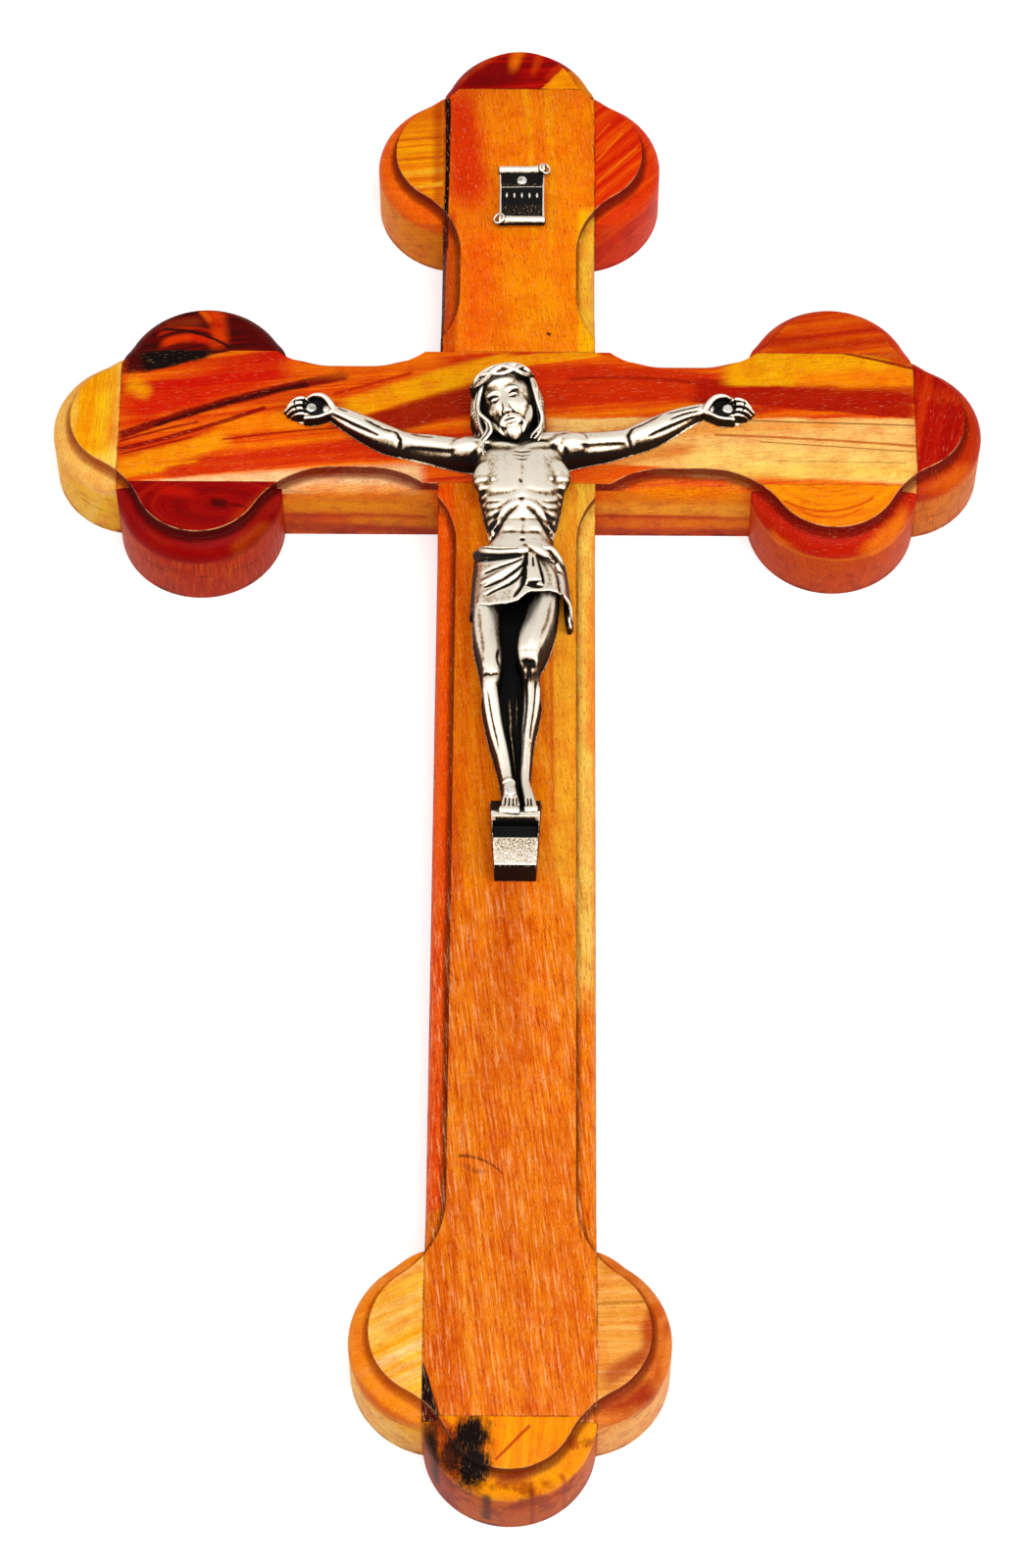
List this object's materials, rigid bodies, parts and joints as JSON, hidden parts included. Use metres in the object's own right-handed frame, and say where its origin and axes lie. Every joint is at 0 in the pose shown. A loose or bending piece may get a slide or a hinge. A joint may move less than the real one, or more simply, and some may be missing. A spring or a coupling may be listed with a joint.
{
  "type": "wall crucifix",
  "caption": "Wooden cross with budded arm ends, a routed front edge, a cast metal figure on a foot block and a small title scroll, to hang on a wall or lie flat.",
  "frame": {"origin": "middle of the cross's overall width and length, on the flat back", "axes": "+Z out of the front, +Y to the top of the cross, +X to the right arm as seen from the front"},
  "size_m": [0.1466, 0.2542, 0.0264],
  "materials": {
    "olive_orange": "varnished olive wood, orange-brown",
    "olive_pale": "varnished olive wood, pale yellow",
    "olive_red": "varnished olive wood, red-brown",
    "olive_dark": "varnished olive wood, dark heartwood",
    "casting": "antiqued white metal, bright on its high places",
    "nail": "worn bright"
  },
  "bodies": {
    "root": {"upright_beam": "olive_orange", "cross_beam": "olive_orange", "top_lobe_end": "olive_red", "top_lobe_left": "olive_pale", "top_lobe_right": "olive_red", "left_lobe_end": "olive_pale", "left_lobe_upper": "olive_dark", "left_lobe_lower": "olive_dark", "right_lobe_end": "olive_red", "right_lobe_upper": "olive_red", "right_lobe_lower": "olive_orange", "foot_lobe_end": "olive_orange", "foot_lobe_left": "olive_pale", "foot_lobe_right": "olive_pale", "corpus": "casting", "title_scroll": "casting", "scroll_nail": "nail", "hand_nail_left": "nail", "hand_nail_right": "nail", "foot_nail": "nail"}
  },
  "joints": []
}
